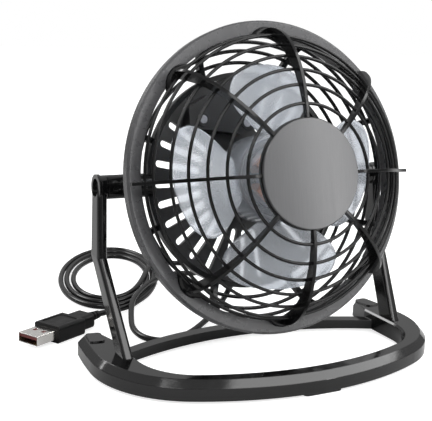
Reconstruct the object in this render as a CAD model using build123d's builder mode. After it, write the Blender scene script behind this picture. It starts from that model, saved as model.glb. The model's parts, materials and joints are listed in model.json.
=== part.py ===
"""Small desk fan on a tilting yoke: open base loop, two arms, round guard, four-blade impeller, USB lead."""
import os
from math import cos, pi, radians, sin, tan

from build123d import *

os.makedirs("parts", exist_ok=True)

# ---------------------------------------------------------------- driving dimensions, millimetres
# Origin: middle of the stand's outer box, on the surface it stands on. Front is -Y, up is +Z.
pad_height = 1.1
base_top = 9.3
base_bevel = 3.0
base_inner_bevel = 0.9
base_half_width = 81.0
base_front = -43.4
bar_front_width = 9.0
cross_bar_top = 5.5
cross_bar_width = 6.0
cross_bar_end = (67.0, 13.3)
cross_bar_middle = 29.9

pivot_height = 76.1
pivot_y = 29.8
tilt_up = 11.7
bore_radius = 3.85
pin_radius = 3.80
socket_radius = 5.15
arm_foot = (68.3, 5.2)
arm_inner = 68.6
arm_knee = (72.0, 26.6, 47.0)
arm_thickness = 4.4
socket_end = 72.6

flange_d = 26.0
rim_radius = 68.0
flange_inner = 62.0
wire_radius = 0.7
spoke_thickness = 1.4
lug_radius = 8.85
lug_circle = 56.0
lug_inner = 60.4
disc_radius = 22.6
dome_height = 30.1

plate_radius = 47.0
plate_thickness = 2.5
cage_ring_radius = 49.4
cage_depth = 18.0
cage_bulge = 16.0
slot_pitch = 12
slot_width = 3.2
slot_inner = 23.0
slot_outer = 45.3

hub_radius = 19.5
hub_back = 9.0
hub_front = 30.5
tip_radius = 48.6
blade_middle = 25.0
blade_pitch = 19.0
blade_thickness = 1.2
shaft_radius = 1.5

cord_radius = 1.45
coil_centre = (-22.5, 151.0)
coil_turn = -21.0
coil_outer = (31.5, 71.0)
coil_inner = (19.0, 44.0)
coil_height = 4.6
plug_tip = (-96.0, 53.3)
plug_angle = 29.0
plug_height = 8.0

# ---------------------------------------------------------------- planes and axes
tilt = radians(tilt_up)
pivot = Vector(0, pivot_y, pivot_height)
forward = Vector(0, -cos(tilt), sin(tilt))
upward = Vector(0, sin(tilt), cos(tilt))
head = Plane(origin=pivot, x_dir=(1, 0, 0), z_dir=forward)
head_axis = Axis(pivot, forward)


def spoke_plane(angle):
    """Plane through the head's axis: x runs outward at this angle from +X, y runs forward."""
    outward = Vector(1, 0, 0) * cos(radians(angle)) + upward * sin(radians(angle))
    return Plane(origin=pivot, x_dir=outward, z_dir=outward.cross(forward))


def head_point(x, up, ahead):
    """A point given in the head's own directions, measured from the pivot."""
    return pivot + Vector(1, 0, 0) * x + upward * up + forward * ahead


def save(piece, label):
    piece.part.label = label
    export_step(piece.part, f"parts/{label}.step")


# ---------------------------------------------------------------- stand: base loop and cross bar
tail_start = (69.0, 35.6)
tail_root = (65.2, 20.8)


def outer_edge():
    """Right half of the base's outer edge, from the middle of its front round to the end of its tail."""
    front = ThreePointArc((0, base_front), (30.5, base_front + 3.7), (54.6, base_front + 11.9))
    corner = TangentArc(front @ 1, (base_half_width, 11.0), tangent=front % 1)
    side = TangentArc(corner @ 1, (79.0, 33.6), tangent=corner % 1)
    TangentArc(side @ 1, tail_start, tangent=side % 1)


def inner_edge():
    """Right half of the base's inner edge, from the tail's root to the middle of the front bar."""
    side_wall = Line(tail_root, (64.6, -2.2))
    inner_corner = TangentArc(side_wall @ 1, (50, -24.7), tangent=side_wall % 1)
    ThreePointArc(inner_corner @ 1, (26, -31.8), (0, base_front + bar_front_width))


with BuildPart() as base_frame:
    # the outer shape with its bevel, still filled
    for level, rise, slope in (
        (pad_height, base_top - base_bevel - pad_height, 0),
        (base_top - base_bevel, base_bevel, 42),
    ):
        with BuildSketch(Plane.XY.offset(level)):
            with BuildLine():
                outer_edge()
                Line(tail_start, (0, tail_start[1]))
                mirror(about=Plane.YZ)
            make_face()
        extrude(amount=rise, taper=slope)
    # only the loop and its tails stay
    with BuildSketch(Plane.XY.offset(pad_height)):
        with BuildLine():
            outer_edge()
            Line(tail_start, tail_root)
            inner_edge()
            mirror(about=Plane.YZ)
        make_face()
    extrude(amount=base_top - pad_height, mode=Mode.INTERSECT)
    # small bevel round the inner top edge
    with BuildSketch(Plane.XY.offset(base_top - base_inner_bevel)):
        with BuildLine():
            inner_edge()
            Line(tail_root, (0, tail_root[1]))
            mirror(about=Plane.YZ)
        make_face()
    extrude(amount=base_inner_bevel, taper=-45, mode=Mode.SUBTRACT)
    # lower bar that ties the two sides together behind the arms, bowed to the rear
    with BuildSketch(Plane.XY.offset(pad_height)):
        with BuildLine():
            bar_front = ThreePointArc(
                (-cross_bar_end[0], cross_bar_end[1]), (0, cross_bar_middle), cross_bar_end
            )
            bar_end = Line(bar_front @ 1, (cross_bar_end[0], cross_bar_end[1] + cross_bar_width))
            bar_back = ThreePointArc(
                bar_end @ 1,
                (0, cross_bar_middle + cross_bar_width),
                (-cross_bar_end[0], cross_bar_end[1] + cross_bar_width),
            )
            Line(bar_back @ 1, bar_front @ 0)
        make_face()
    extrude(amount=cross_bar_top - pad_height)
    # raised pads on the ends of the tails
    with BuildSketch(Plane.XY.offset(base_top - 0.3)):
        for sign in (-1, 1):
            with Locations(Location((sign * 72.6, 29.4, 0), (0, 0, sign * 7))):
                RectangleRounded(6.8, 11.0, 1.6)
    extrude(amount=0.9)
    # sockets for the arms' tenons, open at the top, and screw holes from below
    for sign in (-1, 1):
        with BuildSketch(Plane.XY.offset(base_top)):
            with Locations((sign * arm_foot[0], arm_foot[1])):
                Rectangle(2.8, 6.4)
        extrude(amount=-5.0, mode=Mode.SUBTRACT)
        with Locations((sign * arm_foot[0], arm_foot[1], pad_height)):
            Cylinder(1.15, 8, align=(Align.CENTER, Align.CENTER, Align.MIN), mode=Mode.SUBTRACT)
            Cylinder(2.4, 1.6, align=(Align.CENTER, Align.CENTER, Align.MIN), mode=Mode.SUBTRACT)
save(base_frame, "base_frame")

with BuildPart() as foot_pad_front:
    with BuildSketch(Plane.XY):
        with Locations((0, base_front + 3.3)):
            RectangleRounded(18, 5, 2)
    extrude(amount=pad_height)
save(foot_pad_front, "foot_pad_front")

for name, sign in (("foot_pad_left", -1), ("foot_pad_right", 1)):
    with BuildPart() as foot_pad:
        with BuildSketch(Plane.XY):
            with Locations((sign * 72.4, 29.5)):
                Circle(3.0)
        extrude(amount=pad_height)
    save(foot_pad, name)


# ---------------------------------------------------------------- arms and their screws
def arm(sign):
    """One arm: tenon, leaning flat bar, rounder upper bar and the open socket for the pivot pin."""
    middle = arm_inner + arm_thickness / 2
    knee = Plane((sign * arm_knee[0], arm_knee[1], arm_knee[2]))
    with BuildPart() as bar:
        with BuildSketch(Plane((sign * arm_foot[0], arm_foot[1], base_top))):
            RectangleRounded(arm_thickness, 11.2, 1.4)
        with BuildSketch(knee):
            RectangleRounded(arm_thickness, 10.6, 2.0)
        loft()
        with BuildSketch(knee):
            RectangleRounded(arm_thickness, 10.6, 2.0)
        with BuildSketch(Plane((sign * middle, pivot_y, pivot_height))):
            RectangleRounded(arm_thickness, 9.6, 2.1)
        loft()
        with BuildSketch(Plane((sign * arm_inner, pivot_y, pivot_height), z_dir=(sign, 0, 0))):
            Circle(socket_radius)
        extrude(amount=socket_end - arm_inner)
        with BuildSketch(Plane((sign * (socket_end - 1.4), pivot_y, pivot_height), z_dir=(sign, 0, 0))):
            Circle(socket_radius + 0.5)
        extrude(amount=1.4)
        with BuildSketch(Plane((sign * (arm_inner - 1), pivot_y, pivot_height), z_dir=(sign, 0, 0))):
            Circle(bore_radius)
        extrude(amount=10, mode=Mode.SUBTRACT)
        with BuildSketch(Plane((sign * arm_foot[0], arm_foot[1], base_top + 0.5))):
            Rectangle(2.6, 6.2)
        extrude(amount=-5.2)
        with Locations((sign * arm_foot[0], arm_foot[1], base_top - 5)):
            Cylinder(0.95, 4.2, align=(Align.CENTER, Align.CENTER, Align.MIN), mode=Mode.SUBTRACT)
    return bar


for name, sign in (("left", -1), ("right", 1)):
    save(arm(sign), f"{name}_arm")
    with BuildPart() as arm_screw:
        with Locations((sign * arm_foot[0], arm_foot[1], pad_height + 0.1)):
            Cylinder(2.2, 1.4, align=(Align.CENTER, Align.CENTER, Align.MIN))
            Cylinder(0.9, 7.0, align=(Align.CENTER, Align.CENTER, Align.MIN))
            Box(2.6, 0.6, 0.7, align=(Align.CENTER, Align.CENTER, Align.MIN), mode=Mode.SUBTRACT)
            Box(0.6, 2.6, 0.7, align=(Align.CENTER, Align.CENTER, Align.MIN), mode=Mode.SUBTRACT)
    save(arm_screw, f"arm_screw_{name}")

# ---------------------------------------------------------------- head: bezel ring with its scallops
lug_angles = (45, 90, 135, 225, 270, 315)
with BuildPart() as front_bezel:
    with BuildSketch(spoke_plane(0)):
        Polygon(
            (flange_inner, flange_d - 0.5),
            (rim_radius - 0.9, flange_d),
            (rim_radius, flange_d - 0.9),
            (rim_radius, flange_d - 5),
            (rim_radius - 1.5, flange_d - 5),
            (rim_radius - 1.5, flange_d - 1.6),
            (flange_inner + 1.2, flange_d - 2.0),
            (flange_inner + 1.2, flange_d - 7),
            (flange_inner, flange_d - 7),
            align=None,
        )
    revolve(axis=head_axis)
    with BuildSketch(head.offset(flange_d - 8)):
        for angle in lug_angles:
            with PolarLocations(lug_circle, 1, start_angle=angle):
                Circle(lug_radius + 0.15)
    extrude(amount=10, mode=Mode.SUBTRACT)
save(front_bezel, "front_bezel")

# ---------------------------------------------------------------- head: front guard of spokes and rings
front_rings = ((28.6, 28.3), (36.5, 26.0), (43.3, 22.6), (49.5, 18.2), (54.9, 13.3), (59.9, 7.6), (61.1, 1.6))
with BuildPart() as front_grille:
    with BuildSketch(head.offset(flange_d + dome_height - 3.0)):
        Circle(disc_radius + 0.5)
    extrude(amount=1.5)
    with BuildSketch(spoke_plane(0)):
        for ring_radius, ring_height in front_rings:
            with Locations((ring_radius, flange_d + ring_height)):
                Circle(wire_radius)
    revolve(axis=head_axis)
    for angle in range(0, 360, 45):
        level = angle % 180 == 0
        with BuildSketch(spoke_plane(angle)):
            with BuildLine():
                if level:
                    crown = Spline(
                        (22.65, flange_d + 29.5), (43.6, flange_d + 24.2), (60.8, flange_d + 9.4),
                        (67.9, flange_d + 4.6),
                    )
                    tip = Line(crown @ 1, (67.9, flange_d + 3.2))
                    belly = Spline(
                        tip @ 1, (58.6, flange_d + 6.4), (42.4, flange_d + 21.6), (22.65, flange_d + 27.4)
                    )
                else:
                    crown = Spline(
                        (22.65, flange_d + 29.5), (40.5, flange_d + 27.4), (52.8, flange_d + 21.6),
                        (60.6, flange_d + 13.6), (63.7, flange_d + 6.2), (63.9, flange_d + 0.8),
                    )
                    tip = Line(crown @ 1, (60.9, flange_d - 1.0))
                    belly = Spline(
                        tip @ 1, (58.8, flange_d + 4.0), (55.0, flange_d + 11.2), (49.0, flange_d + 17.6),
                        (40.8, flange_d + 22.8), (22.65, flange_d + 27.4),
                    )
                Line(belly @ 1, crown @ 0)
            make_face()
        extrude(amount=spoke_thickness / 2, both=True)
    # crescent feet that sit in the bezel's scallops
    for angle in lug_angles:
        for level, height, slope in ((flange_d - 1.5, 2.3, 0), (flange_d + 0.8, 1.2, 30)):
            with BuildSketch(head.offset(level)):
                with PolarLocations(lug_circle, 1, start_angle=angle):
                    Circle(lug_radius)
                Circle(lug_inner, mode=Mode.SUBTRACT)
            extrude(amount=height, taper=slope)
save(front_grille, "front_grille")

with BuildPart() as grille_disc:
    with BuildSketch(head.offset(flange_d + dome_height - 1.5)):
        Circle(disc_radius)
    extrude(amount=1.5)
    chamfer(grille_disc.faces().sort_by(Axis(pivot, forward))[-1].edges(), length=0.3)
save(grille_disc, "grille_disc")

# ---------------------------------------------------------------- head: rear cage with the pivot pins
rear_rings = (20, 40, 58, 76)
with BuildPart() as rear_cage:
    with BuildSketch(spoke_plane(0)):
        Polygon(
            (flange_inner + 1.3, flange_d - 8.5),
            (rim_radius - 1.7, flange_d - 8.5),
            (rim_radius - 1.7, flange_d - 2.2),
            (flange_inner + 1.3, flange_d - 2.2),
            align=None,
        )
        with Locations(((plate_radius + cage_ring_radius) / 2 + 0.03, -0.6)):
            Rectangle(cage_ring_radius - plate_radius - 0.06, 3.8)
        for sweep_angle in rear_rings:
            across = plate_radius + 1.2 + cage_bulge * sin(radians(sweep_angle))
            with Locations((across, cage_depth * (1 - cos(radians(sweep_angle))))):
                Circle(wire_radius + 0.15)
    revolve(axis=head_axis)
    for angle in [22.5 + 45 * step for step in range(8)]:
        with BuildSketch(spoke_plane(angle)):
            with BuildLine():
                outside = ThreePointArc((47.8, -2.2), (60.2, 4.2), (65.6, 18.4))
                rim_end = Line(outside @ 1, (63.4, 19.4))
                inside = ThreePointArc(rim_end @ 1, (58.4, 6.4), (47.8, 1.2))
                Line(inside @ 1, outside @ 0)
            make_face()
        extrude(amount=1.25, both=True)
    for angle, sign in ((0, 1), (180, -1)):
        with BuildSketch(Plane((sign * (plate_radius + 0.4), pivot_y, pivot_height), z_dir=(sign, 0, 0))):
            Circle(socket_radius)
        extrude(amount=arm_inner - 0.4 - plate_radius - 0.4)
        with BuildSketch(Plane((sign * (arm_inner - 1.0), pivot_y, pivot_height), z_dir=(sign, 0, 0))):
            Circle(pin_radius)
        extrude(amount=3.8)
        with BuildSketch(spoke_plane(angle)):
            Polygon((49, 0), (66.2, 0), (66.2, 19), (63.5, 19), (58.5, 8), align=None)
        extrude(amount=1.6, both=True)
    # keep the cage clear of the round edge of the vent plate
    with BuildSketch(head.offset(-plate_thickness - 4)):
        Circle(plate_radius + 0.02)
    extrude(amount=plate_thickness + 10, mode=Mode.SUBTRACT)
save(rear_cage, "rear_cage")

# ---------------------------------------------------------------- head: vented motor plate
switch_x, switch_up = -13.0, 30.0
knob_travel = 3.0
gland_x, gland_up = 14.0, -30.0
with BuildPart() as vent_plate:
    with BuildSketch(head.offset(-plate_thickness)):
        Circle(plate_radius)
        for step in range(360 // slot_pitch):
            angle = step * slot_pitch
            under_box = 78 < angle < 144
            beside_gland = 288 <= angle <= 302
            if not under_box and not beside_gland:
                with PolarLocations((slot_inner + slot_outer) / 2, 1, start_angle=angle):
                    SlotOverall(slot_outer - slot_inner, slot_width, mode=Mode.SUBTRACT)
        with Locations((switch_x + knob_travel / 2, switch_up)):
            Rectangle(4.2 + knob_travel, 3.2, mode=Mode.SUBTRACT)
        with Locations((gland_x, gland_up)):
            Circle(2.0, mode=Mode.SUBTRACT)
    extrude(amount=plate_thickness)
    with BuildSketch(head):
        Circle(14.0)
    extrude(amount=3.0)
    with BuildSketch(head.offset(3.0)):
        Circle(4.8)
    extrude(amount=11.0)
    with BuildSketch(head.offset(-plate_thickness - 1)):
        Circle(3.2)
    extrude(amount=20, mode=Mode.SUBTRACT)
save(vent_plate, "vent_plate")

with BuildPart() as rear_cap:
    with BuildSketch(head.offset(-plate_thickness)):
        Circle(17.0)
    extrude(amount=-1.6)
    fillet(rear_cap.faces().sort_by(Axis(pivot, forward))[0].edges(), radius=0.8)
save(rear_cap, "rear_cap")

# ---------------------------------------------------------------- head: switch, its cover and screws
boss_places = ((-23.5, 27.5), (-1.8, 25.5))
with BuildPart() as switch_cover:
    with BuildSketch(head.offset(0.05)):
        with BuildLine():
            Polyline((-30, 24), (-5, 20.5), (2.5, 22.5), (4, 38.5), (-20, 38.5), (-30, 33), close=True)
        make_face()
        fillet(vertices(), radius=2)
    extrude(amount=7.0)
    with BuildSketch(head.offset(0.05)):
        with Locations((switch_x, switch_up)):
            RectangleRounded(17, 11, 1.5)
    extrude(amount=5.6, mode=Mode.SUBTRACT)
    with BuildSketch(head.offset(7.05)):
        with Locations(*boss_places):
            Circle(2.9)
            Circle(1.9, mode=Mode.SUBTRACT)
    extrude(amount=0.9)
    with BuildSketch(head.offset(8.0)):
        with Locations(*boss_places):
            Circle(1.0)
    extrude(amount=-7.5, mode=Mode.SUBTRACT)
save(switch_cover, "switch_cover")

for number, place in enumerate(boss_places, start=1):
    with BuildPart() as cover_screw:
        with BuildSketch(head.offset(7.1)):
            with Locations(place):
                Circle(1.75)
        extrude(amount=0.7)
        with BuildSketch(head.offset(7.1)):
            with Locations(place):
                Circle(0.95)
        extrude(amount=-6.0)
        with BuildSketch(head.offset(7.8)):
            with Locations(place):
                Rectangle(2.2, 0.5)
                Rectangle(0.5, 2.2)
        extrude(amount=-0.35, mode=Mode.SUBTRACT)
    save(cover_screw, f"cover_screw_{number}")

with BuildPart() as switch_body:
    with BuildSketch(head.offset(0.1)):
        with Locations((switch_x + knob_travel / 2, switch_up)):
            Rectangle(13.0, 6.0)
    extrude(amount=4.6)
    with BuildSketch(head.offset(0.1)):
        with Locations((switch_x + knob_travel / 2, switch_up)):
            Rectangle(4.2 + knob_travel, 3.2)
    extrude(amount=1.2, mode=Mode.SUBTRACT)
save(switch_body, "switch_body")

with BuildPart() as switch_knob:
    with BuildSketch(head.offset(1.0)):
        with Locations((switch_x + 0.1, switch_up)):
            Rectangle(3.8, 2.8)
    extrude(amount=-5.6)
    for offset_x in (-1.0, 0.1, 1.2):
        with BuildSketch(head.offset(-4.6)):
            with Locations((switch_x + offset_x, switch_up)):
                Rectangle(0.4, 2.8)
        extrude(amount=0.4, mode=Mode.SUBTRACT)
save(switch_knob, "switch_knob")

# ---------------------------------------------------------------- head: motor
with BuildPart() as bearing_tube:
    with BuildSketch(head.offset(-plate_thickness + 0.2)):
        Circle(3.15)
        Circle(shaft_radius + 0.05, mode=Mode.SUBTRACT)
    extrude(amount=26.0)
save(bearing_tube, "bearing_tube")

with BuildPart() as circuit_board:
    with BuildSketch(head.offset(5.2)):
        Circle(13.5)
        Circle(4.9, mode=Mode.SUBTRACT)
    extrude(amount=1.2)
    with BuildSketch(head.offset(6.4)):
        for angle, wide, high in ((40, 3.2, 2.0), (130, 2.0, 1.2), (215, 3.0, 1.6), (310, 1.8, 1.8)):
            with PolarLocations(10.3, 1, start_angle=angle):
                Rectangle(high, wide)
    extrude(amount=0.9)
save(circuit_board, "circuit_board")

pole_back, pole_front = 19.4, 26.2
with BuildPart() as stator_core:
    with BuildSketch(head.offset(pole_back)):
        Circle(5.6)
        with PolarLocations(8.4, 4, start_angle=45):
            Rectangle(7.5, 3.2)
        with PolarLocations(0, 4, start_angle=45):
            with Locations((12.6, 0)):
                Rectangle(1.8, 11.5)
        Circle(13.6, mode=Mode.INTERSECT)
        Circle(3.2, mode=Mode.SUBTRACT)
    extrude(amount=pole_front - pole_back)
save(stator_core, "stator_core")

for number in range(1, 5):
    angle = 45 + 90 * (number - 1)
    with BuildPart() as coil:
        outward = Vector(1, 0, 0) * cos(radians(angle)) + upward * sin(radians(angle))
        middle_height = (pole_back + pole_front) / 2
        winding = Plane(
            origin=pivot + forward * middle_height + outward * 6.6,
            x_dir=forward,
            z_dir=outward,
        )
        with BuildSketch(winding):
            RectangleRounded(pole_front - pole_back + 4.4, 7.2, 1.8)
            Rectangle(pole_front - pole_back + 0.1, 3.3, mode=Mode.SUBTRACT)
        extrude(amount=4.8)
    save(coil, f"coil_{number}")

# ---------------------------------------------------------------- rotor: impeller, magnet, yoke, shaft
with BuildPart() as one_blade:
    blade_root = Plane(origin=pivot + upward * 18.6, x_dir=(-1, 0, 0), z_dir=upward)
    rise = 27 * tan(radians(blade_pitch))
    with BuildSketch(blade_root):
        with BuildLine():
            back_face = ThreePointArc(
                (-27, blade_middle - rise), (0, blade_middle + 1.6), (27, blade_middle + rise)
            )
            leading = Line(back_face @ 1, (27, blade_middle + rise + blade_thickness))
            front_face = ThreePointArc(
                leading @ 1,
                (0, blade_middle + 1.6 + blade_thickness),
                (-27, blade_middle - rise + blade_thickness),
            )
            Line(front_face @ 1, back_face @ 0)
        make_face()
    extrude(amount=tip_radius)
    with BuildSketch(head):
        with BuildLine():
            right_side = Spline(
                (7.5, 17.5), (13.6, 22.5), (20.8, 28.5), (24.2, 35.5), (20.6, 43.2), (11.5, 47.4), (0, tip_radius),
                tangents=((0.6, 1), (-1, 0)),
            )
            left_side = mirror(right_side, about=Plane.YZ)
            Line(right_side @ 0, left_side @ 0)
        make_face()
    extrude(amount=2 * blade_middle, mode=Mode.INTERSECT)

with BuildPart() as impeller:
    with BuildSketch(spoke_plane(0)):
        Polygon(
            (shaft_radius, hub_front - 3.4),
            (3.4, hub_front - 3.4),
            (3.4, hub_front - 1.4),
            (hub_radius - 1.3, hub_front - 1.4),
            (hub_radius - 1.3, hub_back),
            (hub_radius, hub_back),
            (hub_radius, hub_front - 1.8),
            (hub_radius - 1.8, hub_front),
            (3.0, hub_front + 0.5),
            (shaft_radius, hub_front + 0.5),
            align=None,
        )
    revolve(axis=head_axis)
    for step in range(4):
        add(one_blade.part.rotate(head_axis, 90 * step))
save(impeller, "impeller")

with BuildPart() as rotor_yoke:
    with BuildSketch(head.offset(hub_front - 17.0)):
        Circle(hub_radius - 1.35)
        Circle(hub_radius - 2.05, mode=Mode.SUBTRACT)
    extrude(amount=15.0)
save(rotor_yoke, "rotor_yoke")

with BuildPart() as magnet_ring:
    with BuildSketch(head.offset(hub_front - 16.0)):
        Circle(hub_radius - 2.1)
        Circle(hub_radius - 4.9, mode=Mode.SUBTRACT)
    extrude(amount=13.0)
save(magnet_ring, "magnet_ring")

with BuildPart() as shaft:
    with BuildSketch(head.offset(0.6)):
        Circle(shaft_radius)
    extrude(amount=hub_front - 0.4)
save(shaft, "shaft")


# ---------------------------------------------------------------- lead: gland, tubes, loops, plug
def cord_tube(points, name):
    """A tube along straight runs joined by arcs, each arc as large as its two runs allow."""
    corners = [Vector(*point) for point in points]
    runs = [b - a for a, b in zip(corners, corners[1:])]
    radii = []
    for before, after in zip(runs, runs[1:]):
        turn = radians(before.get_angle(after))
        radii.append(0.45 * min(before.length, after.length) / tan(turn / 2))
    with BuildLine() as path:
        FilletPolyline(*corners, radius=radii)
    start = Plane(origin=corners[0], z_dir=runs[0])
    with BuildPart() as tube:
        with BuildSketch(start):
            Circle(cord_radius)
        sweep(path=path.line)
    length = sum(edge.length for edge in path.line.edges())
    section = pi * cord_radius**2
    print(name, "radii", [round(value, 1) for value in radii])
    print(name, "length", round(length, 1), "volume share", round(tube.part.volume / (section * length), 4))
    return tube


gland_end = 13.0
with BuildPart() as cord_gland:
    with BuildSketch(head.offset(-plate_thickness)):
        with Locations((gland_x, gland_up)):
            Circle(3.6)
    extrude(amount=-1.8)
    with BuildSketch(head.offset(-plate_thickness - 1.8)):
        with Locations((gland_x, gland_up)):
            Circle(2.7)
    extrude(amount=-(gland_end - plate_thickness - 1.8), taper=4)
    with BuildSketch(head.offset(-plate_thickness)):
        with Locations((gland_x, gland_up)):
            Circle(1.9)
    extrude(amount=3.2)
save(cord_gland, "cord_gland")

exit_point = head_point(gland_x, gland_up, -gland_end)
first_bend = head_point(gland_x, gland_up, -gland_end - 10.5)
split_point = (2.0, 62.85, 2.0)
drop_points = [
    tuple(exit_point),
    tuple(first_bend),
    (15.0, 58.0, 34.5),
    (16.6, 65.8, 25.0),
    (17.0, 70.6, 15.0),
    (13.3, 72.0, 6.6),
    (6.5, 67.5, 2.4),
    split_point,
]
run_points = [
    split_point,
    (-2.5, 58.2, 1.6),
    (-12.3, 48.7, 1.5),
    (-22.3, 39.8, 1.5),
    (-35.5, 33.4, 1.5),
    (-44.3, 41.0, 1.5),
    (-44.8, 55.5, 1.5),
    (-39.5, 71.0, 2.2),
    (-32.5, 88.0, 5.6),
    (-20.5, 105.5, 6.7),
    (-5.5, 122.5, 6.6),
    (11.5, 131.5, 5.0),
    (27.0, 134.5, 1.6),
    (36.5, 144.5, 1.5),
    (34.0, 157.5, 1.6),
    (22.5, 163.5, 1.5),
    (10.5, 158.0, 1.6),
    (4.5, 147.0, 1.5),
]
save(cord_tube(drop_points, "cord_drop"), "cord_drop")
save(cord_tube(run_points, "cord_run"), "cord_run")

with BuildPart() as cord_coil:
    with BuildSketch(Plane((*coil_centre, 0.05))):
        Ellipse(*coil_outer, rotation=coil_turn)
        Ellipse(*coil_inner, rotation=coil_turn, mode=Mode.SUBTRACT)
    extrude(amount=coil_height)
save(cord_coil, "cord_coil")

along = Vector(cos(radians(plug_angle)), sin(radians(plug_angle)), 0)


def plug_plane(distance):
    """Cross-section plane of the plug: x runs across it, y up, at this distance from its tip."""
    at = Vector(*plug_tip, plug_height / 2 + 0.05) + along * distance
    return Plane(origin=at, x_dir=along.cross(Vector(0, 0, 1)), z_dir=-along)


shell_length, grip_length, neck_length, relief_length = 12.0, 17.0, 9.0, 9.0
grip_end = shell_length + grip_length
neck_end = grip_end + neck_length
relief_end = neck_end + relief_length

with BuildPart() as plug_body:
    with BuildSketch(plug_plane(shell_length)):
        RectangleRounded(16, plug_height, 1.6)
    extrude(amount=-grip_length)
    with BuildSketch(plug_plane(grip_end)):
        RectangleRounded(11.5, 7.0, 2.2)
    extrude(amount=-neck_length)
    with BuildSketch(plug_plane(neck_end)):
        Circle(2.7)
    with BuildSketch(plug_plane(relief_end)):
        Circle(1.9)
    loft()
    panel_middle = Vector(*plug_tip, plug_height + 0.05) + along * (shell_length + grip_length / 2)
    panel = Plane(panel_middle, x_dir=along)
    with BuildSketch(panel):
        RectangleRounded(13.0, 11.5, 1.5)
    extrude(amount=-0.4, mode=Mode.SUBTRACT)
    with BuildSketch(plug_plane(shell_length - 1)):
        RectangleRounded(12.05, 4.55, 0.5)
    extrude(amount=-7.0, mode=Mode.SUBTRACT)
    for step in range(3):
        with BuildSketch(plug_plane(neck_end + 1.6 + 2.2 * step)):
            Rectangle(8, 8)
            Circle(1.85 - 0.16 * step, mode=Mode.SUBTRACT)
        extrude(amount=-0.9, mode=Mode.SUBTRACT)
save(plug_body, "plug_body")

with BuildPart() as plug_shell:
    with BuildSketch(plug_plane(0)):
        RectangleRounded(12.0, 4.5, 0.5)
        RectangleRounded(11.4, 3.9, 0.3, mode=Mode.SUBTRACT)
    extrude(amount=-shell_length - 5.5)
    for step in (-1, 1):
        window_middle = Vector(*plug_tip, plug_height + 0.05) + along * 7.2
        window = Plane(window_middle + plug_plane(0).x_dir * step * 2.6, x_dir=along)
        with BuildSketch(window):
            Rectangle(2.4, 2.0)
        extrude(amount=-plug_height, mode=Mode.SUBTRACT)
save(plug_shell, "plug_shell")

with BuildPart() as plug_tongue:
    with BuildSketch(plug_plane(0.7)):
        with Locations((0, 0.95)):
            Rectangle(11.1, 1.7)
    extrude(amount=-shell_length - 4.5)
save(plug_tongue, "plug_tongue")

for number, (offset_x, reach) in enumerate(((-3.5, 1.4), (-1.0, 2.4), (1.0, 2.4), (3.5, 1.4)), start=1):
    with BuildPart() as contact:
        with BuildSketch(plug_plane(reach)):
            with Locations((offset_x, -0.13)):
                Rectangle(1.0, 0.2)
        extrude(amount=-8.5)
    save(contact, f"plug_contact_{number}")

lead_points = [
    tuple(Vector(*plug_tip, plug_height / 2 + 0.05) + along * relief_end),
    (-47.3, 80.3, 3.4),
    (-39.6, 85.2, 2.3),
    (-31.2, 90.8, 1.6),
    (-22.5, 96.8, 1.5),
]
save(cord_tube(lead_points, "cord_lead"), "cord_lead")
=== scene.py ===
"""Looks for the small desk fan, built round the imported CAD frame. Metres, +Z up, front towards -Y."""

import json
from math import cos, pi, radians, sin

import bmesh
import bpy
from mathutils import Matrix, Vector


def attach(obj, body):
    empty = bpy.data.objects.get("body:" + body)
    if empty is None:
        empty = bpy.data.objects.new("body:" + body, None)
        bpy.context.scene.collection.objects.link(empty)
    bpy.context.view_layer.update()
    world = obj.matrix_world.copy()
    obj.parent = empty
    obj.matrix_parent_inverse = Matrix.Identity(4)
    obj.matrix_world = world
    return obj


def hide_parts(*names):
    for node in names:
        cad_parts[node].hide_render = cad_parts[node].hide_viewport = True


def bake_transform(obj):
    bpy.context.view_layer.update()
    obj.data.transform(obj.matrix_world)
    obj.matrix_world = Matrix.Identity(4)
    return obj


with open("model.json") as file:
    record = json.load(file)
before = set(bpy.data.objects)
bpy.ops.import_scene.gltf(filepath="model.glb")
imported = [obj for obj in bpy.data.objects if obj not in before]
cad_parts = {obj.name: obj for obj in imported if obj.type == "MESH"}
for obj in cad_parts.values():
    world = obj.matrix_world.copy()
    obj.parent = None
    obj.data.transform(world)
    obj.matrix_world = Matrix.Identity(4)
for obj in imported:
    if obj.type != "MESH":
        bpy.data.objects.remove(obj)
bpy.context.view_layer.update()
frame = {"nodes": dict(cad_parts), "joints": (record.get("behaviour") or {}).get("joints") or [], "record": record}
nodes = frame["nodes"]
scene = bpy.context.scene
mm = 0.001

# ---------------------------------------------------------------- directions of the tilted head
head_joint = next(joint for joint in frame["joints"] if joint["name"] == "fan_spin")
pivot = Vector(head_joint["pos_m"])
ahead = Vector(head_joint["axis"]).normalized()
across = Vector((1, 0, 0))
upward = ahead.cross(across)


def head_point(x, up, forward):
    """A point in the head's own directions, in millimetres from the pivot."""
    return pivot + (across * x + upward * up + ahead * forward) * mm


# ---------------------------------------------------------------- camera
camera_azimuth = radians(27.08)
camera_down = radians(11.3)
camera_roll = radians(1.82)
camera_distance = 0.4104
camera_lens = 73.88
camera_sensor = 36
nearest_seen = 0.01
target = Vector((-0.0119, 0.0359, 0.0613))


def add_camera():
    """The photograph's view of the fan."""
    flat = cos(camera_down)
    look = Vector((flat * sin(camera_azimuth), flat * cos(camera_azimuth), -sin(camera_down)))
    level = Vector((cos(camera_azimuth), -sin(camera_azimuth), 0))
    rise = level.cross(look)
    right = level * cos(camera_roll) + rise * sin(camera_roll)
    top = rise * cos(camera_roll) - level * sin(camera_roll)
    data = bpy.data.cameras.new("camera")
    data.lens = camera_lens
    data.sensor_width = camera_sensor
    data.clip_start = nearest_seen
    camera = bpy.data.objects.new("camera", data)
    turn = Matrix((right, top, -look)).transposed().to_4x4()
    camera.matrix_world = Matrix.Translation(target - look * camera_distance) @ turn
    scene.collection.objects.link(camera)
    scene.camera = camera


add_camera()

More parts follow.
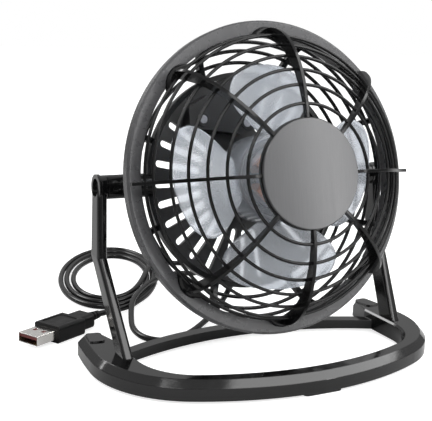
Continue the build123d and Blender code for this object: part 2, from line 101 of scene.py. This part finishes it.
# ---------------------------------------------------------------- lead: one smooth route from gland to plug
cord_radius = 1.45 * mm

# out of the gland at the back of the head and down to the desk
drop_route = [
    head_point(14, -30, -13),
    head_point(14, -30, -23.5),
    Vector((15.0, 58.0, 34.5)) * mm,
    Vector((16.6, 65.8, 25.0)) * mm,
    Vector((17.0, 70.6, 15.0)) * mm,
    Vector((13.3, 72.0, 6.6)) * mm,
    Vector((6.5, 67.5, 2.4)) * mm,
]

# along the desk: a wide bend to the left, then over the last stretch and round to the start of the loops
run_route = [
    Vector(point) * mm
    for point in (
        (-2.5, 58.2, 1.6),
        (-12.3, 48.7, 1.5),
        (-22.3, 39.8, 1.5),
        (-35.5, 33.4, 1.5),
        (-44.3, 41.0, 1.5),
        (-44.8, 55.5, 1.5),
        (-39.5, 71.0, 2.2),
        (-32.5, 88.0, 4.9),
        (-20.5, 105.5, 4.9),
        (-5.5, 122.5, 4.9),
        (11.5, 131.5, 4.6),
        (27.0, 134.5, 1.6),
        (36.5, 144.5, 1.5),
        (34.0, 157.5, 1.6),
        (22.5, 163.5, 1.5),
        (10.5, 158.0, 4.2),
        (2.5, 150.0, 4.8),
    )
]

# from the loops into the plug
lead_route = [
    Vector(point) * mm
    for point in (
        (-31.2, 90.8, 1.6),
        (-39.6, 85.2, 2.3),
        (-47.3, 80.3, 3.4),
        (-54.89, 76.09, 4.05),
    )
]

# the loose loops; lengths in millimetres, as the half sizes of the first loop and what the last has gained
loop_turns = 3.24
points_per_turn = 14
loop_slant = radians(-21)
loop_middle_x = -22.8
loop_middle_y = 147.5
loop_shift = 3.5
short_first, short_gain = 19.5, 9.5
long_first, long_gain = 44.5, 24.5

# what makes the turns uneven: two waves, as shares of the gain, and the pace of the slower one
wobble = 0.06
drift = 0.05
drift_pace = 0.37

# the first loop starts lifted, and lies on the desk after one turn divided by the pace
lying_height = 1.5
first_lift = 3.2
lift_pace = 6


def loop_point(share):
    """A point of the loose loops: they start small on the right and grow, and fan out as they go."""
    angle = -2 * pi * loop_turns * share
    growth = share + wobble * sin(2 * angle + 1) + drift * sin(angle * drift_pace)
    over = (short_first + short_gain * growth) * cos(angle)
    along = (long_first + long_gain * growth) * sin(angle)
    x = loop_middle_x + over * cos(loop_slant) - along * sin(loop_slant)
    y = loop_middle_y + loop_shift * growth + over * sin(loop_slant) + along * cos(loop_slant)
    lift = first_lift * max(0, 1 - share * loop_turns * lift_pace)
    return Vector((x, y, lying_height + lift)) * mm


loop_count = round(loop_turns * points_per_turn)
loop_route = [loop_point(step / loop_count) for step in range(1, loop_count)]
route = drop_route + run_route + loop_route + lead_route


def route_curve(name, points, radius):
    """A smooth curve with these control points; with a radius it is a tube."""
    data = bpy.data.curves.new(name, "CURVE")
    data.dimensions = "3D"
    spline = data.splines.new("NURBS")
    spline.points.add(len(points) - 1)
    for place, point in zip(spline.points, points):
        place.co = (*point, 1)
    spline.order_u = 3
    spline.use_endpoint_u = True
    spline.resolution_u = 10
    data.bevel_depth = radius
    data.bevel_resolution = 3
    data.use_fill_caps = radius > 0
    return bpy.data.objects.new(name, data)


def curve_mesh(name, points, radius=0.0):
    """The mesh of such a curve: a tube, or with no radius its own line."""
    curve = route_curve(name, points, radius)
    scene.collection.objects.link(curve)
    mesh = bpy.data.meshes.new_from_object(curve.evaluated_get(bpy.context.evaluated_depsgraph_get()))
    bpy.data.objects.remove(curve)
    mesh.name = name
    return mesh


def add_piece(name, mesh):
    """An object in the scene with this mesh, shaded smooth."""
    piece = bpy.data.objects.new(name, mesh)
    scene.collection.objects.link(piece)
    for face in mesh.polygons:
        face.use_smooth = True
    return piece


lead = add_piece("lead", curve_mesh("lead", route, cord_radius))
lead_path = [vertex.co.copy() for vertex in curve_mesh("lead_line", route).vertices]
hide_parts("cord_drop", "cord_run", "cord_coil", "cord_lead")
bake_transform(lead)
plug_nodes = ["plug_body", "plug_shell", "plug_tongue"]
plug_nodes += [f"plug_contact_{number}" for number in range(1, 5)]

# ---------------------------------------------------------------- impeller: four leaf blades on a cup
# lengths in millimetres: radii from the shaft, and distances forward from the pivot
hub_radius = 19.5
hub_back, hub_front = 9.0, 30.5
hub_wall, hub_floor = 0.9, 1.4
hub_inner = hub_radius - hub_wall
hub_sides = 72
shoulder, shoulder_ease = 1.8, 2.2
shoulder_steps = 6
inner_corner = 0.6
lip = 0.3
nose_radius, nose_rise = 3.0, 0.5
shaft_hole = 1.5
boss_radius, boss_depth = 3.4, 3.4
blade_count = 4
blade_middle = 25.0
blade_rise = 9.3
blade_bow = 1.6
blade_span = 27.0
blade_thickness = 1.2
width_steps = 12
outline_steps = 3
merge_within = 0.001

# half width of a blade and distance from the shaft, from its root to its tip
blade_half_outline = [
    (8.6, 18.7), (13.6, 22.5), (20.8, 28.5), (24.2, 35.5), (20.6, 43.2), (11.5, 47.4), (1.0, 48.6),
]


def smooth_between(points, steps):
    """Points along a Catmull-Rom curve through the given ones."""
    ends = [points[0], *points, points[-1]]
    found = []
    for before, start, stop, after in zip(ends, ends[1:], ends[2:], ends[3:]):
        for step in range(steps):
            part = step / steps
            weights = (
                -part + 2 * part**2 - part**3,
                2 - 5 * part**2 + 3 * part**3,
                part + 4 * part**2 - 3 * part**3,
                part**3 - part**2,
            )
            rows = zip(before, start, stop, after)
            totals = [sum(weight * value for weight, value in zip(weights, row)) for row in rows]
            found.append(tuple(total / 2 for total in totals))
    return found + [points[-1]]


def blade_height(over):
    """How far forward the bowed, pitched blade lies at this distance from its middle line."""
    share = over / blade_span
    return blade_middle + blade_rise * share + blade_bow * (1 - share**2)


def add_grid(shape, rows, closed=False):
    """Joins rows of points with quads; returns the rows of vertices."""
    made = [[shape.verts.new(point) for point in row] for row in rows]
    for low, high in zip(made, made[1:]):
        count = len(low)
        for place in range(count if closed else count - 1):
            after = (place + 1) % count
            shape.faces.new((low[place], low[after], high[after], high[place]))
    return made


def rim_of(grid):
    """The vertices round the edge of a grid, in order."""
    return grid[0] + [row[-1] for row in grid[1:-1]] + grid[-1][::-1] + [row[0] for row in grid[-2:0:-1]]


def add_blade(shape, turn):
    """A thin leaf, closed round its rim, turned by this angle round the shaft."""
    outline = smooth_between(blade_half_outline, outline_steps)
    sides = []
    for thickness in (0, blade_thickness):
        rows = []
        for half_width, radius in outline:
            row = []
            for step in range(width_steps + 1):
                over = half_width * (2 * step / width_steps - 1)
                x = -over * cos(turn) - radius * sin(turn)
                up = -over * sin(turn) + radius * cos(turn)
                row.append(head_point(x, up, blade_height(over) + thickness))
            rows.append(row)
        sides.append(add_grid(shape, rows))
    back_rim, front_rim = (rim_of(side) for side in sides)
    for place in range(len(back_rim)):
        after = (place + 1) % len(back_rim)
        shape.faces.new((back_rim[place], back_rim[after], front_rim[after], front_rim[place]))


def hub_profile():
    """The cup's section: from the shaft hole over the rounded front, and back up the inside."""
    profile = [
        (shaft_hole, hub_front + nose_rise),
        (nose_radius, hub_front + nose_rise),
        (hub_radius - shoulder_ease, hub_front),
    ]
    for step in range(1, shoulder_steps):
        angle = pi / 2 * step / shoulder_steps
        radius = hub_radius - shoulder + shoulder * sin(angle)
        profile.append((radius, hub_front - shoulder + shoulder * cos(angle)))
    profile += [
        (hub_radius, hub_front - shoulder_ease),
        (hub_radius, (hub_front + hub_back) / 2),
        (hub_radius, hub_back + lip),
        (hub_radius - lip, hub_back),
        (hub_inner + lip, hub_back),
        (hub_inner, hub_back + lip),
        (hub_inner, hub_front - (hub_floor + inner_corner)),
        (hub_inner - inner_corner, hub_front - hub_floor),
        (boss_radius, hub_front - hub_floor),
        (boss_radius, hub_front - boss_depth),
        (shaft_hole, hub_front - boss_depth),
    ]
    return profile + [profile[0]]


def add_hub(shape):
    """Turns the cup's section round the shaft."""
    rows = []
    for radius, forward in hub_profile():
        row = []
        for step in range(hub_sides):
            angle = 2 * pi * step / hub_sides
            row.append(head_point(radius * cos(angle), radius * sin(angle), forward))
        rows.append(row)
    add_grid(shape, rows, closed=True)


def add_impeller():
    """The blades and the cup as one piece with rounded edges, in place of the CAD impeller."""
    shape = bmesh.new()
    for number in range(blade_count):
        add_blade(shape, 2 * pi * number / blade_count)
    add_hub(shape)
    bmesh.ops.remove_doubles(shape, verts=shape.verts, dist=merge_within * mm)
    bmesh.ops.recalc_face_normals(shape, faces=shape.faces)
    mesh = bpy.data.meshes.new("impeller_skin")
    shape.to_mesh(mesh)
    shape.free()
    piece = add_piece("impeller_skin", mesh)
    rounder = piece.modifiers.new("rounder", "SUBSURF")
    rounder.levels = 1
    rounder.render_levels = 1
    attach(piece, "rotor")
    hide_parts("impeller")
    return piece


impeller_skin = add_impeller()

# ---------------------------------------------------------------- helpers for materials
# a noise texture's values lie mostly between these two
texture_low, texture_high = 0.3, 0.7

# noise scales, in cells per metre
colour_scale = 60
gloss_scale = 260
drawn_scale = 900
haze_scale = 40
floor_scale = 4


def material(name, **sockets):
    """A new material and its main shader, with the given values on the shader's sockets."""
    made = bpy.data.materials.new(name)
    made.use_nodes = True
    shader = made.node_tree.nodes["Principled BSDF"]
    for socket, value in sockets.items():
        shader.inputs[socket.replace("_", " ")].default_value = value
    return made, shader


def noise(made, scale, stretch=(1, 1, 1), detail=3.0):
    """Noise in the piece's own space, with scale times stretch cells per metre along each axis."""
    tree = made.node_tree
    place = tree.nodes.new("ShaderNodeTexCoord")
    mapping = tree.nodes.new("ShaderNodeMapping")
    mapping.inputs["Scale"].default_value = stretch
    texture = tree.nodes.new("ShaderNodeTexNoise")
    texture.inputs["Scale"].default_value = scale
    texture.inputs["Detail"].default_value = detail
    tree.links.new(place.outputs["Object"], mapping.inputs["Vector"])
    tree.links.new(mapping.outputs["Vector"], texture.inputs["Vector"])
    return texture.outputs["Fac"]


def spread(made, value, low, high, start=texture_low, stop=texture_high):
    """Maps a value between start and stop to the range from low to high."""
    tree = made.node_tree
    node = tree.nodes.new("ShaderNodeMapRange")
    node.inputs["From Min"].default_value = start
    node.inputs["From Max"].default_value = stop
    node.inputs["To Min"].default_value = low
    node.inputs["To Max"].default_value = high
    tree.links.new(value, node.inputs["Value"])
    return node.outputs["Result"]


def tint(made, value, dark, light):
    """A colour between dark and light, by a texture's value."""
    tree = made.node_tree
    ramp = tree.nodes.new("ShaderNodeValToRGB")
    ramp.color_ramp.elements[0].position = texture_low
    ramp.color_ramp.elements[1].position = texture_high
    ramp.color_ramp.elements[0].color = (*dark, 1)
    ramp.color_ramp.elements[1].color = (*light, 1)
    tree.links.new(value, ramp.inputs["Fac"])
    return ramp.outputs["Color"]


def relief(made, shader, value, depth, edge):
    """Bump from a texture's value, depth in metres, on edges rounded by edge."""
    tree = made.node_tree
    bump = tree.nodes.new("ShaderNodeBump")
    bump.inputs["Distance"].default_value = depth
    bump.inputs["Strength"].default_value = 1
    tree.links.new(value, bump.inputs["Height"])
    if edge:
        rounding = tree.nodes.new("ShaderNodeBevel")
        rounding.samples = 4
        rounding.inputs["Radius"].default_value = edge
        tree.links.new(rounding.outputs["Normal"], bump.inputs["Normal"])
    tree.links.new(bump.outputs["Normal"], shader.inputs["Normal"])


def plastic(name, dark, light, rough, grain, depth, edge, specular=0.5):
    """Moulded plastic: slow colour drift, uneven gloss and a fine skin."""
    made, shader = material(name, Specular_IOR_Level=specular)
    colour = tint(made, noise(made, colour_scale), dark, light)
    gloss = spread(made, noise(made, gloss_scale), *rough)
    made.node_tree.links.new(colour, shader.inputs["Base Color"])
    made.node_tree.links.new(gloss, shader.inputs["Roughness"])
    relief(made, shader, noise(made, grain), depth, edge)
    return made


def metal(name, dark, light, rough, stretch, depth, edge):
    """Worked metal: one noise, stretched where the metal was drawn, sets colour, gloss and relief."""
    made, shader = material(name, Metallic=1.0)
    lines = noise(made, drawn_scale, stretch)
    made.node_tree.links.new(tint(made, lines, dark, light), shader.inputs["Base Color"])
    made.node_tree.links.new(spread(made, lines, *rough), shader.inputs["Roughness"])
    relief(made, shader, lines, depth, edge)
    return made


def grey(value, blue=1.05):
    """A grey whose blue is this many times its red and green."""
    return (value, value, value * blue)


# ---------------------------------------------------------------- materials, one for each slot
# name, darkest and lightest colour, range of roughness, grain in cells per metre,
# depth of the relief and radius of the edges in metres, and for some the specular level
plastics = [
    ("black_gloss", grey(0.002), grey(0.004), (0.07, 0.13), 900, 0.000006, 0.0005, 0.45),
    ("black_satin", grey(0.002), grey(0.004), (0.11, 0.18), 1400, 0.000006, 0.0004, 0.24),
    ("bezel_gloss", grey(0.038), grey(0.050), (0.24, 0.34), 1800, 0.000006, 0.0004),
    ("housing_black", grey(0.010), grey(0.016), (0.36, 0.5), 3500, 0.00002, 0.0003, 0.4),
    ("pad_rubber", grey(0.015), grey(0.025), (0.7, 0.85), 4500, 0.00004, 0.0003),
    ("switch_plastic", grey(0.02), grey(0.03), (0.4, 0.5), 3500, 0.00002, 0.0002),
    ("cord_pvc", grey(0.002), grey(0.004), (0.18, 0.28), 1500, 0.00001, 0, 0.24),
    ("plug_pvc", grey(0.002), grey(0.004), (0.34, 0.48), 3200, 0.00002, 0.0006, 0.22),
    ("tongue_plastic", (0.10, 0.014, 0.012), (0.15, 0.02, 0.016), (0.4, 0.5), 2500, 0.00001, 0.0001),
    ("bearing_nylon", (0.62, 0.60, 0.56), (0.72, 0.70, 0.66), (0.4, 0.5), 1500, 0.00001, 0.0002),
    ("board_green", (0.02, 0.10, 0.04), (0.03, 0.15, 0.06), (0.2, 0.3), 900, 0.00003, 0.0001),
    ("magnet", grey(0.04), grey(0.06), (0.5, 0.65), 2500, 0.000006, 0.0002),
]

# the same, with the noise's stretch along each axis in place of the grain
metals = [
    ("screw_steel", grey(0.30), grey(0.34), (0.30, 0.36), (0.3, 0.3, 0.3), 0.000001, 0.0001),
    ("core_steel", grey(0.50), grey(0.58), (0.32, 0.40), (0.1, 0.6, 0.4), 0.000003, 0.0001),
    ("contact_brass", (0.72, 0.50, 0.16), (0.85, 0.62, 0.24), (0.15, 0.25), (1, 1, 1), 0.000003, 0.00005),
    ("plug_nickel", (0.78, 0.76, 0.73), (0.90, 0.88, 0.85), (0.12, 0.24), (1, 1, 6), 0.000003, 0.0002),
]


def copper_winding():
    """Enamelled wire laid turn on turn under a clear coat: bumped turns, with painted shade in the grooves between
    them and painted highlights on their crowns.
    """
    made, shader = material("copper_wire", Metallic=1.0, Roughness=0.28, Coat_Weight=0.7)
    tree = made.node_tree
    place = tree.nodes.new("ShaderNodeTexCoord")
    wave = tree.nodes.new("ShaderNodeTexWave")
    wave.inputs["Scale"].default_value = 700
    wave.inputs["Distortion"].default_value = 1.2
    wave.bands_direction = "DIAGONAL"
    tree.links.new(place.outputs["Object"], wave.inputs["Vector"])
    turns_and_painted_light = wave.outputs["Fac"]
    # the colour follows the turns' relief: painted shade darkens the grooves between turns, and a painted
    # highlight brightens each crown
    tree.links.new(tint(made, turns_and_painted_light, (0.30, 0.07, 0.02), (0.80, 0.30, 0.12)), shader.inputs["Base Color"])
    relief(made, shader, turns_and_painted_light, depth=0.0001, edge=0.0002)
    return made


def brushed_disc():
    """Dark grey face with fine upright brush lines."""
    made, shader = material("disc_grey", Specular_IOR_Level=0.55)
    tree = made.node_tree
    lines = noise(made, 1, stretch=(5200, 90, 90), detail=2.0)
    tree.links.new(tint(made, lines, grey(0.045), grey(0.053)), shader.inputs["Base Color"])
    tree.links.new(spread(made, lines, 0.17, 0.22), shader.inputs["Roughness"])
    relief(made, shader, lines, depth=0.0000015, edge=0.0003)
    return made


def frosted_clear():
    """Clear plastic with a fine frost: it passes light and blurs what is behind it."""
    made, shader = material("blade_frost", IOR=1.2)
    tree = made.node_tree
    haze = noise(made, haze_scale)
    tree.links.new(tint(made, haze, (0.76, 0.80, 0.86), (0.88, 0.91, 0.95)), shader.inputs["Base Color"])
    # the hub's wall is smoother and clearer than the blades; radii from the shaft, in metres
    hub_ends = 0.0197
    blades_start = 0.0215
    vector = tree.nodes.new("ShaderNodeTexCoord").outputs["Object"]
    for operation, value in (("SUBTRACT", pivot), ("CROSS_PRODUCT", ahead)):
        step = tree.nodes.new("ShaderNodeVectorMath")
        step.operation = operation
        tree.links.new(vector, step.inputs[0])
        step.inputs[1].default_value = value
        vector = step.outputs["Vector"]
    reach = tree.nodes.new("ShaderNodeVectorMath")
    reach.operation = "LENGTH"
    tree.links.new(vector, reach.inputs[0])
    for socket, hub, blade in (("Roughness", 0.12, 0.22), ("Transmission Weight", 0.85, 0.74)):
        value = spread(made, reach.outputs["Value"], hub, blade, start=hub_ends, stop=blades_start)
        tree.links.new(value, shader.inputs[socket])
    return made


materials = {row[0]: plastic(*row) for row in plastics}
materials.update({row[0]: metal(*row) for row in metals})
materials["copper_wire"] = copper_winding()
materials["disc_grey"] = brushed_disc()
materials["blade_frost"] = frosted_clear()

slot_of = {part["node"]: part["material_slot"] for part in frame["record"]["subparts"]}
for name, node in nodes.items():
    for holder in node.material_slots:
        holder.material = materials[slot_of[name]]
lead.data.materials.append(materials["cord_pvc"])
impeller_skin.data.materials.append(materials["blade_frost"])

# ---------------------------------------------------------------- floor, light and world
floor_reach = 6.0
floor_level = -0.0002
floor_dark, floor_light = 0.50, 0.52
floor_glow = 0.75
horizon_grey, zenith_grey = 0.16, 0.75
zenith_from = 0.55


def add_floor():
    """A plain pale floor just below the pads, brighter to the camera so that it meets the white behind."""
    mesh = bpy.data.meshes.new("floor")
    corners = [
        (-floor_reach, -floor_reach, floor_level),
        (floor_reach, -floor_reach, floor_level),
        (floor_reach, floor_reach, floor_level),
        (-floor_reach, floor_reach, floor_level),
    ]
    mesh.from_pydata(corners, [], [(0, 1, 2, 3)])
    floor = bpy.data.objects.new("floor", mesh)
    scene.collection.objects.link(floor)
    made, shader = material("floor", Roughness=0.9, Specular_IOR_Level=0.1)
    tree = made.node_tree
    shader.inputs["Emission Color"].default_value = (*grey(floor_glow, 1), 1)
    rays = tree.nodes.new("ShaderNodeLightPath")
    tree.links.new(rays.outputs["Is Camera Ray"], shader.inputs["Emission Strength"])
    colour = tint(made, noise(made, floor_scale), grey(floor_dark, 1), grey(floor_light, 1))
    tree.links.new(colour, shader.inputs["Base Color"])
    mesh.materials.append(made)


def add_light(name, place, size, power):
    """A rectangular soft box that faces the camera's target; metres and watts."""
    data = bpy.data.lights.new(name, "AREA")
    data.shape = "RECTANGLE"
    data.size, data.size_y = size
    data.energy = power
    light = bpy.data.objects.new(name, data)
    light.location = place
    light.rotation_euler = (target - Vector(place)).to_track_quat("-Z", "Y").to_euler()
    scene.collection.objects.link(light)


def add_world():
    """White to the camera; dim near the horizon and bright overhead for light and reflections."""
    world = bpy.data.worlds.new("studio")
    world.use_nodes = True
    tree = world.node_tree
    sky = tree.nodes["Background"]
    place = tree.nodes.new("ShaderNodeTexCoord")
    split = tree.nodes.new("ShaderNodeSeparateXYZ")
    ramp = tree.nodes.new("ShaderNodeValToRGB")
    ramp.color_ramp.elements[0].position = 0
    ramp.color_ramp.elements[0].color = (*grey(horizon_grey, 1), 1)
    ramp.color_ramp.elements[1].position = zenith_from
    ramp.color_ramp.elements[1].color = (*grey(zenith_grey, 1), 1)
    tree.links.new(place.outputs["Generated"], split.inputs[0])
    tree.links.new(split.outputs["Z"], ramp.inputs["Fac"])
    tree.links.new(ramp.outputs["Color"], sky.inputs["Color"])
    white = tree.nodes.new("ShaderNodeBackground")
    white.inputs["Color"].default_value = (1, 1, 1, 1)
    rays = tree.nodes.new("ShaderNodeLightPath")
    mix = tree.nodes.new("ShaderNodeMixShader")
    tree.links.new(rays.outputs["Is Camera Ray"], mix.inputs["Fac"])
    tree.links.new(sky.outputs["Background"], mix.inputs[1])
    tree.links.new(white.outputs["Background"], mix.inputs[2])
    tree.links.new(mix.outputs["Shader"], tree.nodes["World Output"].inputs["Surface"])
    scene.world = world


add_floor()
add_light("front_strip", place=(0.50, -0.722, 0.26), size=(0.05, 0.60), power=1.1)
add_light("front_panel", place=(0.25, -1.0, 0.32), size=(0.9, 0.5), power=1.1)
add_light("key", place=(-0.55, -0.45, 0.75), size=(0.35, 0.35), power=3.2)
add_light("overhead", place=(0.45, -0.50, 0.80), size=(1.6, 0.60), power=15)
add_light("back_box", place=(-0.45, 0.85, 0.65), size=(0.5, 0.4), power=5)
add_world()
scene.view_settings.view_transform = "Standard"
